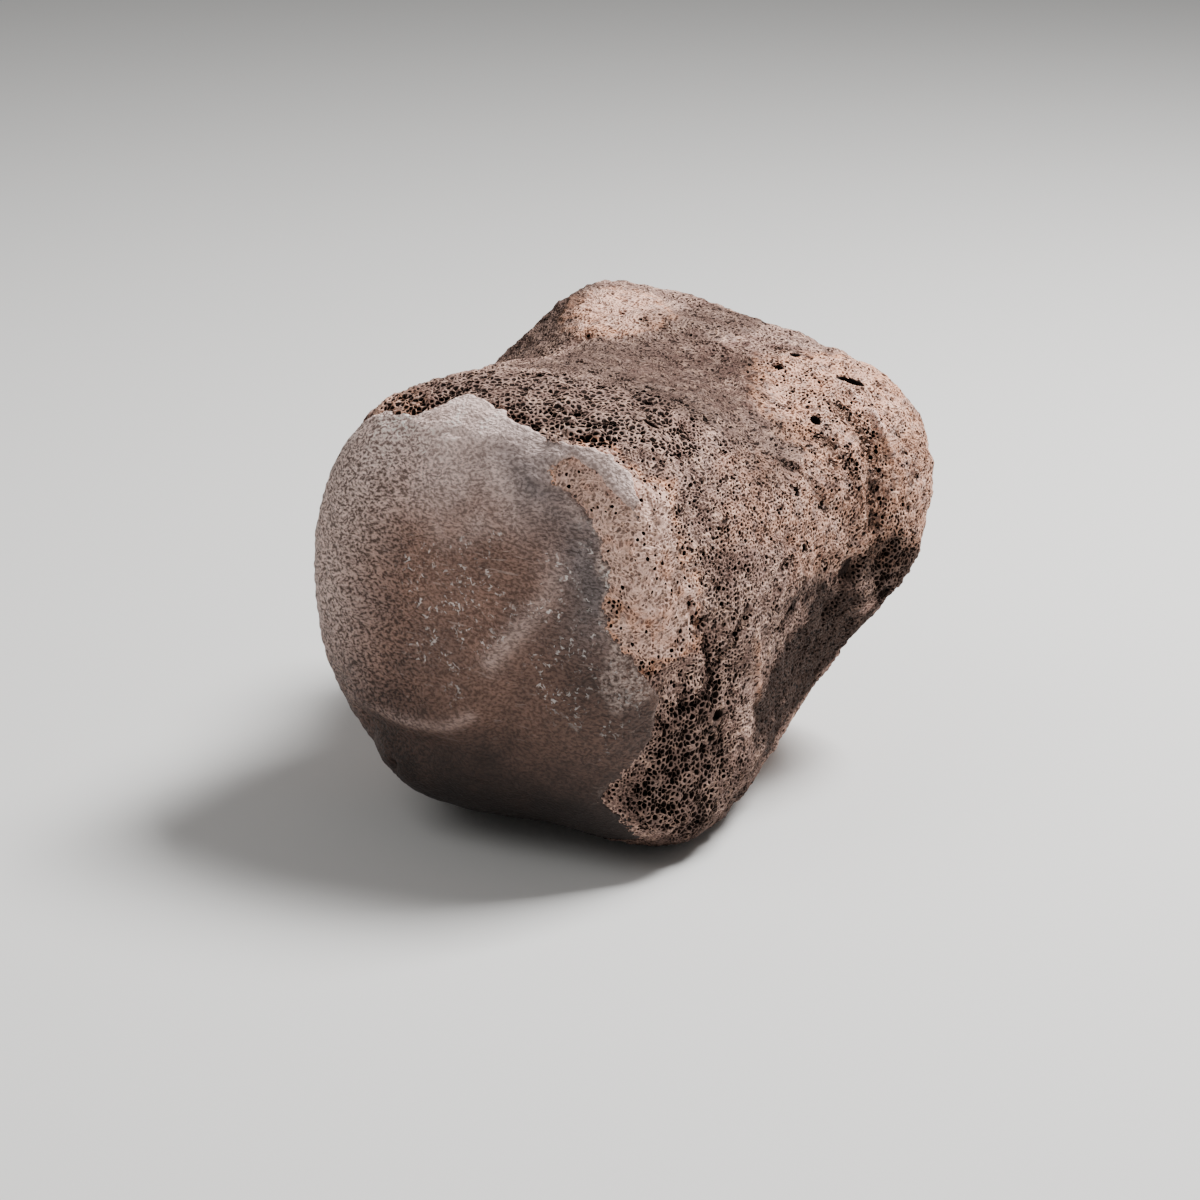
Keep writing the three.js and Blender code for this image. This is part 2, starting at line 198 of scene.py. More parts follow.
@dataclass(frozen=True)
class BoneForm:
    """The whole bone as one field of blended forms, with the reliefs of its surface."""

    jointed_end: tuple[Egg, ...] = (
        Egg((-9.5, -36, 53), (36.5, 22.5, 44), 2.2, 2.8, back=60),
        Egg((16, -36, 50), (30.5, 22.5, 47.5), 3, 2.8, back=60),
        Egg((29.5, -32, 15), (11, 15, 11), 2.4, 2.4),
        Egg((-8, -43, 19), (13, 12, 12), 2.4, 2.4),
        Egg((-17, -21, 14), (12, 16, 14.6), 2.4, 2.4),
    )
    middle: tuple[Egg, ...] = (
        Egg((11, 2, 52), (41, 44, 38), 2.8, 4, slope=0.1, taper=0.16),
        Egg((32, -4, 19), (12, 40, 12), 2.4, 3, slope=0.25),
    )
    broad_end: tuple[Egg, ...] = (
        Egg((3, 39, 54), (52, 34, 44), 2.4, 2.6, back=19, taper=0.23),
        Egg((-15, 41, 81), (24, 20, 19.6), 2.8, 2.4, back=13),
        Egg((43.8, 38, 61), (16, 18, 22), 2.2, 2.2, back=15),
        Egg((6, 33, 16), (20, 17, 18.5), 2.2, 2.2),
    )
    hollows: tuple[Egg, ...] = (
        Egg((72, 10, 18), (22, 30, 24), 2, 2),
        Egg((-58, 6, 44), (17, 30, 34), 2, 2),
        Egg((4, 8, -10), (34, 26, 22), 2, 2),
        Egg((2, 96, 58), (62, 42, 46), 2, 2),
    )
    palmar_sweep: Facet = Facet((2, -50, 5.9), (0.065, -0.45, -0.9))
    dorsal_slope: Facet = Facet((16, 42, 97.6), (0.18, 0, 0.98))
    dorsal_flank: Facet = Facet((-35.2, 36, 91.6), (-0.76, 0, 0.63))
    reliefs: tuple[Relief, ...] = (
        Relief(((-6, -61, 62), (4, -61, 57)), 17, -1.5),
        Relief(((27, -61, 70), (20, -61, 60), (10, -62, 49)), 4.5, 1.3),
        Relief(((25, -55, 86), (31, -58, 73), (28, -60, 60), (19, -61, 44), (11, -61, 31)), 6, -2.2),
        Relief(((37, -54, 80), (41, -56, 62), (41, -57, 42)), 6, 0.9),
        Relief(((-26, -56, 31), (-13, -60, 30), (-3, -61, 31), (4, -61, 35)), 4, 1.5),
        Relief(((-26, -54, 25), (-13, -58, 24), (-2, -60, 25)), 4, -1.6),
        Relief(((7, -61, 28), (21, -60, 26), (34, -58, 23)), 5, -1.7),
        Relief(((-21, -56, 17), (-17, -57, 16)), 5, 1.2),
        Relief(((51, -32, 60), (52, -29, 46), (50, -27, 33), (47, -24, 18)), 6, 1.4),
        Relief(((50, 25, 88), (56, 23, 78), (58, 22, 66), (57, 24, 52)), 4.5, -1.6),
        Relief(((-23, 31, 101), (-15, 20, 98), (-5, 7, 96)), 5, 1.3),
        Relief(((22, 12, 95), (34, 0, 93)), 13, -1.5),
        Relief(((-25, -40, 90), (-11, -36, 98)), 9, 1.5),
    )
    blend: float = 14.0
    waist_blend: float = 16.0
    hollow_blend: float = 8.0
    facet_blend: float = 4.0
    lump_height: float = 0.45
    joint_face_back: float = -46.0

    def lumps(self, points: Rows) -> Rows:
        """Low swellings of the weathered surface, which fade out towards the joint face."""
        x, y, z = points.T
        fade = smooth_step(y, self.joint_face_back, self.joint_face_back + 14)
        broad = np.sin(x / 5.3 + z / 9) * np.sin(y / 6.1 + 1) * np.sin(z / 5.7 + y / 11)
        fine = np.sin(x / 2.9 + 2) * np.sin(y / 3.3 + z / 4.1) * np.sin(z / 3.1 - x / 6)
        return self.lump_height * fade * (broad + 0.6 * fine)

    def together(self, forms: tuple[Egg, ...], points: Rows) -> Rows:
        """Soft union of the forms of one end."""
        total = forms[0].distance(points)
        for form in forms[1:]:
            total = blend_min(total, form.distance(points), self.blend)
        return total

    def field(self, points: Rows) -> Rows:
        """Signed distance to the bone.

        Args:
            points: rows of X, Y, Z in millimetres, in drawing coordinates.

        Returns:
            One distance for each row, below zero inside.
        """
        head = self.together(self.jointed_end, points)
        waist = self.together(self.middle, points)
        foot = self.together(self.broad_end, points)
        foot = blend_max(foot, self.dorsal_slope.distance(points), self.facet_blend)
        foot = blend_max(foot, self.dorsal_flank.distance(points), self.facet_blend)
        total = blend_min(blend_min(head, waist, self.waist_blend), foot, self.waist_blend)
        for hollow in self.hollows:
            total = blend_max(total, -hollow.distance(points), self.hollow_blend)
        total = blend_max(total, self.palmar_sweep.distance(points), self.hollow_blend)
        return total - sum(relief.rise(points) for relief in self.reliefs) - self.lumps(points)

    def normals(self, points: Rows, step: float = 0.4) -> Rows:
        """Unit normals of the field, facing out."""
        slopes = [
            self.field(points + step * axis) - self.field(points - step * axis) for axis in np.eye(3)
        ]
        normals = np.stack(slopes, axis=1)
        return normals / np.linalg.norm(normals, axis=1)[:, None]

    def along(self, directions: Rows, rise: float = 0.0) -> Rows:
        """Surface points where the rays from CORE along directions leave the bone.

        Args:
            directions: rows of direction vectors.
            rise: height above the surface, in millimetres.

        Returns:
            One point for each row, none below the floor.
        """
        unit = directions / np.linalg.norm(directions, axis=1)[:, None]
        inside = np.zeros(len(unit))
        outside = np.full(len(unit), 110.0)
        for _ in range(19):
            halfway = (inside + outside) / 2
            below = self.field(CORE + unit * halfway[:, None]) < rise
            inside = np.where(below, halfway, inside)
            outside = np.where(below, outside, halfway)
        points = CORE + unit * inside[:, None]
        points[:, 2] = np.maximum(points[:, 2], 0)
        return points


GRAIN = Grain(7)
FORM = BoneForm()


# Zones of the surface

@dataclass(frozen=True)
class Zone:
    """An egg-shaped zone of the surface with a soft, uneven border."""

    centre: Triple
    radii: Triple
    strength: float = 1.0
    wobble: float = 0.22

    def weight(self, points: Rows) -> Rows:
        """How strongly the zone holds at each point."""
        reach = np.linalg.norm((points - np.array(self.centre)) / np.array(self.radii), axis=1)
        reach = reach + self.wobble * GRAIN.rough(points, 9)
        return self.strength * (1 - smooth_step(reach, 0.8, 1.15))


def strongest(zones: tuple[Zone, ...], points: Rows) -> Rows:
    """The greatest weight of several zones at each point."""
    return np.max([zone.weight(points) for zone in zones], axis=0)


SPONGY_ZONES = (
    Zone((9, -37, 97), (38, 15, 14)),  # band above the joint face
    Zone((-20, -42, 95), (13, 10, 8)),  # its left end
    Zone((47, -42, 22), (11, 13, 22)),  # worn lower corner
    Zone((62, 32, 46), (10, 14, 11)),  # under the side tuber
    Zone((0, 56, 20), (30, 10, 11)),  # lower edge of the near end
)
OPEN_ZONES = (
    Zone((10, -34, 98), (44, 17, 12), 0.75),
    Zone((47, -40, 26), (13, 17, 26), 0.75),
    Zone((60, 32, 46), (13, 18, 15), 0.7),
    Zone((42, 24, 90), (14, 16, 12), 0.55),  # large pores on the side tuber
    Zone((49, -28, 74), (9, 14, 20), 0.45),  # rim of the flank
    Zone((51, -30, 52), (9, 12, 18), 0.3),
    Zone((0, 56, 20), (36, 14, 15), 0.6),
    Zone((-34, -40, 84), (10, 10, 18), 0.5),  # far side's rim
)
QUIET_ZONES = (
    Zone((18, 4, 97), (30, 20, 9), 0.9),  # dorsal saddle
    Zone((-18, 26, 98), (26, 20, 14), 0.7),  # facets of the dorsal tuber
    Zone((38, -52, 74), (10, 11, 25), 1.0, 0.4),  # where the joint's layer has come off
    Zone((27, -52, 88), (8, 7, 7), 1.0),  # the notch above it
    Zone((52, 30, 84), (14, 16, 18), 0.4),
)
# Buff and painted light: bared and buff bone, with painted light on the lit top of the side tuber and on the
# dorsal tuber's facet that faces the light.
BUFF_AND_PAINTED_LIGHT_ZONES = (
    Zone((46, 26, 88), (18, 24, 14), 1.5),
    # painted light on the facet that faces the light; the facet beside it gets painted shade
    Zone((-10, 27, 99), (12, 14, 8), 1.6),
    Zone((56, 10, 74), (10, 26, 22), 0.5),
    Zone((60, 34, 68), (12, 18, 22), 0.65),
    Zone((39, -52, 73), (11.5, 11, 27), 1.9, 0.4),
    Zone((27, -52, 88), (9, 8, 8), 1.9),
    Zone((49, -20, 78), (10, 14, 12), 0.4),
    Zone((-22, -46, 92), (10, 8, 6), 0.6),
)
RUST_ZONES = (
    Zone((25, 4, 96), (22, 18, 8), 0.7),
    Zone((-17, -44, 96), (9, 8, 6), 0.55),
    Zone((30, 24, 95), (12, 12, 8), 0.5),
)
# Painted shade and dark tone: most of these zones paint shade where little light falls, near the table, under
# the side tuber, on the low corners and on facets that face away; the saddle and the band above the joint
# face get the bone's own darker tone.
PAINTED_SHADE_AND_DARK_TONE_ZONES = (
    Zone((47, -42, 20), (12, 14, 22), 0.6),
    Zone((53, 8, 30), (14, 30, 22), 0.95, 0.4),
    Zone((50, -14, 12), (12, 20, 16), 0.5),
    Zone((-32, 30, 92), (12, 20, 18), 0.7),
    Zone((62, 32, 44), (12, 17, 14), 0.85, 0.4),
    Zone((18, -4, 98), (36, 24, 9), 0.62),
    Zone((44, -7, 86), (13, 14, 10), 0.45),
    # painted shade on a facet that faces away from the light
    Zone((-24, 14, 94), (10, 10, 10), 0.6),
    Zone((9, 32, 101), (11, 17, 9), 0.5, 0.4),
    Zone((8, -38, 99), (40, 13, 9), 0.3),
    Zone((52, -4, 44), (10, 26, 12), 0.4),
    # painted shade all round the bottom, near the table
    Zone((0, -30, 4), (70, 40, 10), 0.8),
)
CRACKS = (
    Relief(((46.8, -45, 63), (47.7, -44, 57.4), (48.6, -40.5, 58.6)), 0.6, -1.1),
    Relief(((48.2, -41, 54), (49, -40, 47), (49.6, -37, 40)), 0.7, -0.6),
    Relief(((52.6, -22, 58), (53.4, -18, 62), (53.5, -12, 63)), 0.8, -0.9),
    Relief(((53, -31, 57), (50.5, -36.5, 49), (47.8, -40.7, 41)), 1.1, -0.8),
    Relief(((53.5, -27, 50), (52.5, -24, 40), (50.5, -20, 33)), 1.2, 0.8),
    Relief(((52, -16, 48), (53, -8, 51), (53.2, 0, 50)), 0.8, -0.7),
    Relief(((49, 10, 84), (53, 14, 78), (55.6, 15, 69)), 1.6, -1.0),
    Relief(((46, 27, 90), (53.4, 27, 86), (58.2, 27, 76), (59.6, 26, 66)), 0.8, 1.2),
    Relief(((49, 21, 87), (54.4, 22, 80), (57, 20, 70), (57.4, 20, 62)), 2.3, -1.1),
    Relief(((48, -6, 82), (51, 0, 78), (54, 4, 70)), 1.3, -0.8),
    Relief(((22, -18, 97), (30, -20, 95), (37, -20, 92)), 0.9, -0.6),
    Relief(((10, 16, 98), (18, 20, 98), (26, 18, 96)), 1.2, -0.7),
    Relief(((-28, 44, 99), (-24, 30, 100), (-22, 20, 98), (-16, 13, 97.5)), 1.1, 1.0),
)


@dataclass(frozen=True)
class Hole:
    """A hole through the surface; a stretched one is a slot that is turned about its own axis."""

    at: Triple
    radius: float
    depth: float
    stretch: float = 1.0
    turn: float = 0.0

    def frame(self) -> tuple[Rows, Rows, Rows, Rows]:
        """The middle of the mouth, its long and short directions on the surface, and the way out."""
        mouth = FORM.along(np.array([self.at]) - CORE)
        out = Vector(FORM.normals(mouth, 0.5)[0])
        lean = Vector((0, 1, 0)).rotation_difference(out)
        long = lean @ Vector((math.cos(self.turn), 0, -math.sin(self.turn)))
        return mouth[0], np.array(long), np.array(out.cross(long)), np.array(out)

    def reach(self, points: Rows) -> Rows:
        """Distance from the hole's middle, counted in its radii."""
        mouth, long, short, out = self.frame()
        gap = points - mouth
        spread = np.stack([gap @ long / self.stretch, gap @ short, gap @ out / 3], axis=1)
        return np.linalg.norm(spread, axis=1) / self.radius


HOLES = (
    Hole((46.6, 13, 86), 1.4, 6),
    Hole((47, 29.8, 90.8), 1, 4, 3.4, 1.2),
    Hole((33.2, -35, 95), 0.9, 3, 3.2, 0.5),
    Hole((33.7, 28, 95), 1.2, 3),
    Hole((33.5, 21, 94.4), 1.1, 3),
    Hole((51.7, -6.4, 75.9), 1.2, 4),
    Hole((53.8, -6.6, 63.6), 1.1, 4),
    Hole((53.1, 5, 55.7), 1.2, 4),
    Hole((48.9, -35.5, 34.6), 1.5, 4),
    Hole((47.9, -36.2, 29.5), 1.2, 4),
    Hole((-46, 30, 60), 1.3, 4),
    Hole((-44, 8, 40), 1.5, 4),
    Hole((-6, 56, 40), 1.2, 3),
)
KNOB_HOLE = Hole((-18.7, -57.2, 16.6), 1.1, 1.8)
POCKETS = (
    Hole((55.1, 15.8, 51.6), 2.6, 4, 1.5, 1.2),
    Hole((51.6, 12, 43.3), 2.2, 3.5, 1.4, 1.2),
    Hole((42, 22, 91), 1.5, 1.2),
    Hole((40, 4, 92), 1.6, 0.9),
    Hole((52, -12, 66), 1.8, 1.2, 1.6, 0.4),
)


# Finishes

@dataclass(frozen=True)
class Colour:
    """A colour in linear light."""

    red: float
    green: float
    blue: float

    def rgba(self) -> tuple[float, float, float, float]:
        """The colour with full opacity."""
        return (self.red, self.green, self.blue, 1.0)


class NodeTree:
    """A small hand for wiring shader or geometry nodes."""

    def __init__(self, tree: bpy.types.NodeTree) -> None:
        """Takes the tree that is to be wired."""
        self.tree = tree

    def add(
        self, kind: str, given: dict[int | str, object] | None = None, **settings: object
    ) -> bpy.types.Node:
        """Adds a node.

        Args:
            kind: the node's type.
            given: for each input's name or number, the output to link to it or the value to set.
            settings: the node's own properties.

        Returns:
            The node.
        """
        node = self.tree.nodes.new(kind)
        for name, value in settings.items():
            setattr(node, name, value)
        for name, value in (given or {}).items():
            if isinstance(value, Socket):
                self.tree.links.new(value, node.inputs[name])
            else:
                node.inputs[name].default_value = value
        return node

    def attribute(self, name: str) -> Socket:
        """A float attribute of the mesh."""
        return self.add("ShaderNodeAttribute", attribute_name=name).outputs["Fac"]

    def noise(self, place: Socket, size_mm: float, detail: float = 3.0, twist: float = 0.0) -> Socket:
        """Noise over the object's coordinates with bumps of about a size."""
        given = {"Vector": place, "Scale": 1 / (size_mm * MM), "Detail": detail, "Distortion": twist}
        return self.add("ShaderNodeTexNoise", given).outputs["Fac"]

    def cells(self, place: Socket, size_mm: float) -> Socket:
        """Distance from the walls of irregular cells of about a size."""
        given = {"Vector": place, "Scale": 1 / (size_mm * MM)}
        return self.add("ShaderNodeTexVoronoi", given, feature="DISTANCE_TO_EDGE").outputs["Distance"]

    def drawn_out(self, place: Socket, share: Triple, turn: Triple = (0, 0, 0)) -> Socket:
        """The coordinates turned and stretched, so that a pattern on them has a grain."""
        given = {"Vector": place, "Rotation": turn, "Scale": share}
        return self.add("ShaderNodeMapping", given).outputs["Vector"]

    def crooked(self, place: Socket, size_mm: float, reach_mm: float) -> Socket:
        """The coordinates pushed about by noise."""
        push = self.add("ShaderNodeTexNoise", {"Vector": place, "Scale": 1 / (size_mm * MM)}).outputs["Color"]
        given = {0: push, 1: (reach_mm * MM,) * 3, 2: place}
        return self.add("ShaderNodeVectorMath", given, operation="MULTIPLY_ADD").outputs["Vector"]

    def remap(self, value: Socket, low: float, high: float, to: float = 1.0) -> Socket:
        """Spreads the range from low to high over 0 to a value."""
        given = {"Value": value, "From Min": low, "From Max": high, "To Max": to}
        return self.add("ShaderNodeMapRange", given).outputs["Result"]

    def reckon(self, operation: str, a: Socket | float, b: Socket | float) -> Socket:
        """The result of an operation of arithmetic on two values."""
        return self.add("ShaderNodeMath", {0: a, 1: b}, operation=operation).outputs["Value"]

    def times(self, a: Socket | float, b: Socket | float) -> Socket:
        """Product of two values."""
        return self.reckon("MULTIPLY", a, b)

    def tint(self, share: Socket, base: Socket | Colour, over: Colour) -> Socket:
        """Mixes a colour over a base by a share."""
        given = {"Factor": share, 6: base.rgba() if isinstance(base, Colour) else base, 7: over.rgba()}
        return self.add("ShaderNodeMix", given, data_type="RGBA").outputs[2]

    def scale(self, share: Socket, base: Socket, gain: Colour) -> Socket:
        """Multiplies a colour by a gain, by a share."""
        given = {"Factor": share, 6: base, 7: gain.rgba()}
        settings = {"data_type": "RGBA", "blend_type": "MULTIPLY", "clamp_result": True}
        return self.add("ShaderNodeMix", given, **settings).outputs[2]


class Coat:
    """A new material with its shader and the coordinates that its patterns lie on."""

    def __init__(self, name: str, roughness: float, shine: float) -> None:
        """Makes the material.

        Args:
            name: the material's name.
            roughness: how dull its surface is.
            shine: strength of its plain reflection.
        """
        self.material = bpy.data.materials.new(name)
        self.material.use_nodes = True
        self.nodes = NodeTree(self.material.node_tree)
        self.shader = self.material.node_tree.nodes["Principled BSDF"]
        self.shader.inputs["Roughness"].default_value = roughness
        self.shader.inputs["Specular IOR Level"].default_value = shine
        self.place = self.nodes.add("ShaderNodeTexCoord").outputs["Object"]

    def finish(self, colour: Socket, height: Socket, reach_mm: float) -> Material:
        """Joins the colour and the bumps to the shader.

        Args:
            colour: the base colour.
            height: the bumps' height, as a share of their reach.
            reach_mm: how high a bump of height 1 stands.

        Returns:
            The finished material.
        """
        bump = self.nodes.add("ShaderNodeBump", {"Distance": reach_mm * MM, "Height": height})
        links = self.material.node_tree.links
        links.new(colour, self.shader.inputs["Base Color"])
        links.new(bump.outputs["Normal"], self.shader.inputs["Normal"])
        return self.material


VERY_QUIET = 2.6  # where quiet is as high as this, the material draws no cells of its own


@dataclass(frozen=True)
class PittedBoneFinish:
    """Dry weathered bone: mauve brown, buff on its high places, rusty in the saddle, dark in its cells.

    The buff is partly painted light on lit tops and ridges; where it is well above 1 the bone is freshly
    bared, or painted more strongly lit, and paler still. The cells, pits, undersides, facets turned from the
    light and the cracks' grooves are darkened with painted shade.
    """

    name: str = "pitted_bone"
    mauve: Colour = Colour(0.34, 0.208, 0.17)
    pale: Colour = Colour(0.52, 0.352, 0.298)
    # buff and freshly bared bone, also used as painted light on lit tops and ridges
    buff_and_painted_light: Colour = Colour(0.97, 0.50, 0.32)
    fresh_and_painted_top_light: Colour = Colour(1.0, 0.65, 0.53)
    rust: Colour = Colour(0.20, 0.10, 0.08)
    # painted shade, also the darker tone of the saddle and the band
    painted_shade_and_dark_tone: Colour = Colour(0.045, 0.027, 0.021)
    stain: Colour = Colour(0.40, 0.36, 0.35)
    crumb: Colour = Colour(0.95, 0.60, 0.45)
    # painted shade in the pattern's small pits
    gap: Colour = Colour(0.07, 0.052, 0.045)
    # painted shade on the cells' floors and down the holes
    cell: Colour = Colour(0.022, 0.012, 0.009)
    roughness: float = 0.92
    shine: float = 0.2
    patch_mm: float = 7.0
    stain_mm: float = 2.6
    crumb_mm: float = 0.95
    cell_mm: float = 1.0
    bump_mm: float = 0.8

    def build(self) -> Material:
        """Wires the material.

        Returns:
            The finished material.
        """
        coat = Coat(self.name, self.roughness, self.shine)
        nodes, place = coat.nodes, coat.place
        grain = nodes.drawn_out(nodes.crooked(place, 11.0, 9.0), (1.0, 0.5, 1.0))
        patches = nodes.noise(place, self.patch_mm, 4.0)
        colour = nodes.tint(nodes.remap(patches, 0.42, 0.62, 0.75), self.mauve, self.pale)
        broken = nodes.remap(nodes.noise(place, 2.2, 4.0), 0.36, 0.56)
        colour = nodes.tint(nodes.times(nodes.attribute("rust"), broken), colour, self.rust)
        # buff bone, and painted light on lit tops and on the cracks' ridges
        colour = nodes.tint(nodes.times(nodes.attribute("buff_and_painted_light"), broken), colour, self.buff_and_painted_light)
        stains = nodes.remap(nodes.noise(place, self.stain_mm, 3.0), 0.54, 0.68, 0.9)
        colour = nodes.scale(stains, colour, self.stain)
        # freshly bared bone, and painted light on the most strongly lit tops
        fresh_and_painted_top_light = nodes.remap(nodes.attribute("buff_and_painted_light"), 1.35, 1.8)
        colour = nodes.tint(nodes.times(fresh_and_painted_top_light, nodes.remap(patches, 0.30, 0.50)), colour, self.fresh_and_painted_top_light)
        crumbs = nodes.noise(grain, self.crumb_mm, 2.0, 1.4)
        crumbled = nodes.times(nodes.remap(crumbs, 0.50, 0.60), nodes.remap(patches, 0.30, 0.60, 0.85))
        colour = nodes.tint(crumbled, colour, self.crumb)
        # painted shade on undersides, shaded facets and grooves, with the darker tone of the saddle and the
        # band
        colour = nodes.tint(nodes.attribute("painted_shade_and_dark_tone"), colour, self.painted_shade_and_dark_tone)
        # painted shade in the small pits of the pattern, which the bumps also sink
        hollow = nodes.remap(nodes.cells(nodes.crooked(grain, 1.2, 0.9), self.cell_mm), 0.16, 0.30)
        patchy = nodes.remap(nodes.noise(place, 1.7, 2.0), 0.36, 0.52, 0.95)
        lively = nodes.remap(nodes.attribute("quiet"), VERY_QUIET, 0.0)
        hollow = nodes.times(nodes.times(hollow, patchy), lively)
        colour = nodes.scale(hollow, colour, self.gap)
        # painted shade on the cells' floors
        colour = nodes.tint(nodes.remap(nodes.attribute("painted_cavity_shade"), 0.02, 0.34), colour, self.cell)
        return coat.finish(colour, nodes.reckon("SUBTRACT", crumbs, hollow), self.bump_mm)


@dataclass(frozen=True)
class JointFinish:
    """The joint's smooth layer: brown in its middle, ashen at its top, pebbly and paler at its left; its
    colour carries painted light at its top, ridge, lip and edge, and painted shade low down and in its
    hollows.
    """

    name: str = "smooth_joint_layer"
    brown: Colour = Colour(0.225, 0.125, 0.092)
    umber: Colour = Colour(0.15, 0.085, 0.065)
    # pale tone at the left, and painted highlight along the ridge and the lip
    pallor_and_painted_highlight: Colour = Colour(0.42, 0.30, 0.26)
    # pale ashen tone at the top, partly painted light from above
    ash_and_painted_top_light: Colour = Colour(0.97, 0.735, 0.67)
    slate: Colour = Colour(0.20, 0.157, 0.15)
    # worn colour, and painted light along the layer's ragged edge
    worn_and_painted_edge_light: Colour = Colour(0.64, 0.475, 0.41)
    # painted shade: the dark of the underside, the lower right and the grooves
    painted_shade: Colour = Colour(0.012, 0.008, 0.007)
    fleck: Colour = Colour(0.88, 0.80, 0.75)
    # gains for the pebbles: painted highlight on their tops and painted shade between them
    grain: Colour = Colour(1.75, 1.75, 1.75)
    painted_pore_shade: Colour = Colour(0.3, 0.27, 0.25)
    scratched: Colour = Colour(0.55, 0.40, 0.34)
    roughness: float = 0.62
    shine: float = 0.35
    cloud_mm: float = 13.0
    pebble_mm: float = 0.56
    fleck_mm: float = 1.1
    bump_mm: float = 0.9

    def build(self) -> Material:
        """Wires the material.

        Returns:
            The finished material.
        """
        coat = Coat(self.name, self.roughness, self.shine)
        nodes, place = coat.nodes, coat.place
        lying = nodes.drawn_out(place, (0.66, 1.0, 1.0), (0.0, 0.35, 0.0))
        cloud = nodes.remap(nodes.noise(place, self.cloud_mm, 5.0), 0.40, 0.62, 0.9)
        colour = nodes.tint(cloud, self.brown, self.umber)
        for name, tone in (("pallor_and_painted_highlight", self.pallor_and_painted_highlight), ("ash_and_painted_top_light", self.ash_and_painted_top_light), ("slate", self.slate)):
            colour = nodes.tint(nodes.attribute(name), colour, tone)
        # worn patches, and painted light along the ragged edge
        edge = nodes.times(nodes.attribute("worn_and_painted_edge_light"), nodes.remap(nodes.noise(place, 0.8, 4.0), 0.40, 0.56))
        colour = nodes.tint(edge, colour, self.worn_and_painted_edge_light)
        pebble = nodes.noise(nodes.crooked(lying, 6.0, 2.0), self.pebble_mm, 2.0, 0.2)
        rough = nodes.attribute("pimply")
        # painted highlight on the pebbles' tops and painted shade between them, following the same noise as
        # the bumps
        for low, high, gain in ((0.51, 0.60, self.grain), (0.49, 0.40, self.painted_pore_shade)):
            colour = nodes.scale(nodes.times(nodes.remap(pebble, low, high), rough), colour, gain)
        flecks = nodes.remap(nodes.noise(place, self.fleck_mm, 5.0, 0.8), 0.575, 0.64, 0.9)
        clusters = nodes.remap(nodes.noise(place, 4.5, 3.0), 0.47, 0.58)
        flecks = nodes.times(nodes.times(flecks, clusters), nodes.attribute("flecked"))
        colour = nodes.tint(flecks, colour, self.fleck)
        scratch = nodes.noise(nodes.drawn_out(place, (0.12, 1.0, 1.0), (0.0, 0.9, 0.0)), 0.9, 2.0, 0.3)
        bare = nodes.remap(nodes.attribute("ash_and_painted_top_light"), 0.6, 0.0)
        scratch = nodes.times(nodes.remap(scratch, 0.66, 0.72, 0.4), bare)
        colour = nodes.tint(scratch, colour, self.scratched)
        # painted shade low on the face and in its grooves
        colour = nodes.tint(nodes.attribute("painted_shade"), colour, self.painted_shade)
        return coat.finish(colour, nodes.times(pebble, nodes.remap(rough, -0.3, 1.0)), self.bump_mm)


@dataclass(frozen=True)
class PlainFinish:
    """One even colour, for the table top."""

    name: str
    colour: Colour
    roughness: float = 0.8

    def build(self) -> Material:
        """A plain material."""
        material = bpy.data.materials.new(self.name)
        material.use_nodes = True
        shader = material.node_tree.nodes["Principled BSDF"]
        shader.inputs["Base Color"].default_value = self.colour.rgba()
        shader.inputs["Roughness"].default_value = self.roughness
        return material


# Meshes

def put_object(name: str, data: bpy.types.ID) -> Object:
    """Puts a new object in the scene."""
    thing = bpy.data.objects.new(name, data)
    bpy.context.scene.collection.objects.link(thing)
    return thing


def put_mesh(name: str, points_mm: Rows, faces: Rows, smooth: bool = True) -> Object:
    """Makes an object of a mesh given in drawing coordinates.

    Args:
        name: the piece's name.
        points_mm: rows of X, Y, Z in millimetres.
        faces: rows of corner numbers.
        smooth: whether its shading is smooth.

    Returns:
        The object, at the origin, in metres.
    """
    mesh = bpy.data.meshes.new(name)
    mesh.from_pydata(((points_mm + SHIFT) * MM).tolist(), [], faces.tolist())
    mesh.validate()
    if smooth:
        mesh.shade_smooth()
    else:
        mesh.shade_flat()
    return put_object(name, mesh)


def ball_rays(detail: int) -> tuple[Rows, Rows]:
    """Directions spread evenly over a ball, and the triangles between them."""
    ball = bmesh.new()
    bmesh.ops.create_icosphere(ball, subdivisions=detail, radius=1)
    rays = np.array([corner.co[:] for corner in ball.verts])
    faces = np.array([[corner.index for corner in face.verts] for face in ball.faces])
    ball.free()
    return rays, faces


def points_of(mesh: Mesh) -> Rows:
    """The mesh's corners in drawing coordinates."""
    flat = np.empty(len(mesh.vertices) * 3)
    mesh.vertices.foreach_get("co", flat)
    return flat.reshape(-1, 3) / MM - SHIFT


def move_points(mesh: Mesh, points_mm: Rows) -> None:
    """Puts the mesh's corners at new places in drawing coordinates."""
    mesh.vertices.foreach_set("co", ((points_mm + SHIFT) * MM).ravel())
    mesh.update()


def mark(mesh: Mesh, name: str, values: Rows, whole: bool = False) -> None:
    """Stores one number for each corner of the mesh under a name."""
    layer = mesh.attributes.new(name, "INT" if whole else "FLOAT", "POINT")
    layer.data.foreach_set("value", values.astype(np.int32 if whole else np.float32))


def finish_piece(piece: Object, material: Material | None = None) -> None:
    """Keeps a piece inside the solid's box, dresses it and hands it to the frame."""
    low, high = (np.array(corner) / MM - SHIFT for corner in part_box(NODE))
    move_points(piece.data, np.clip(points_of(piece.data), low, high))
    if material is not None:
        piece.data.materials.clear()
        piece.data.materials.append(material)
    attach(piece, "root")
    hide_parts(NODE)
    triangles = sum(len(face.vertices) - 2 for face in piece.data.polygons)
    LOG.info("%s: %d triangles", piece.name, triangles)


